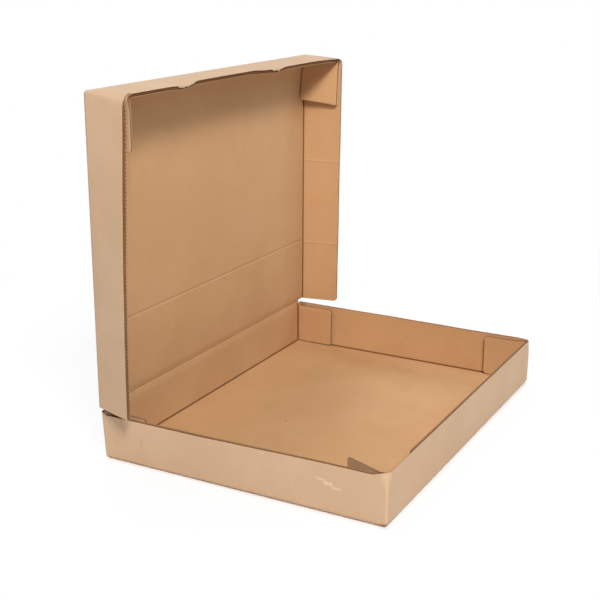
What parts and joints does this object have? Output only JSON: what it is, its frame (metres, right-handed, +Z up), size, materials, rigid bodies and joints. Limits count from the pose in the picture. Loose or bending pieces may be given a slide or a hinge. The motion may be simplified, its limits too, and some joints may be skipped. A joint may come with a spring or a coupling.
{
  "type": "picture frame box",
  "caption": "Flat corrugated cardboard tray box with a hinged telescoping lid, folded from a die-cut blank, for a framed picture.",
  "frame": {"origin": "centre of the base tray's flat underside, on the surface the box stands on", "axes": "+X along the lid's hinge crease, -Y towards the front wall that the lid closes over, +Z up"},
  "size_m": [0.4917, 0.3384, 0.4027],
  "materials": {
    "corrugated_board": "matt brown kraft double-wall corrugated board"
  },
  "bodies": {
    "base": {"base_tray": "corrugated_board"},
    "lid": {"lid_tray": "corrugated_board"}
  },
  "joints": [
    {"name": "lid_hinge", "type": "hinge", "parent": "base", "child": "lid", "pos_m": [0, 0.1671, 0.0616], "axis": [1, 0, 0], "range_deg": [-100, 90]}
  ]
}
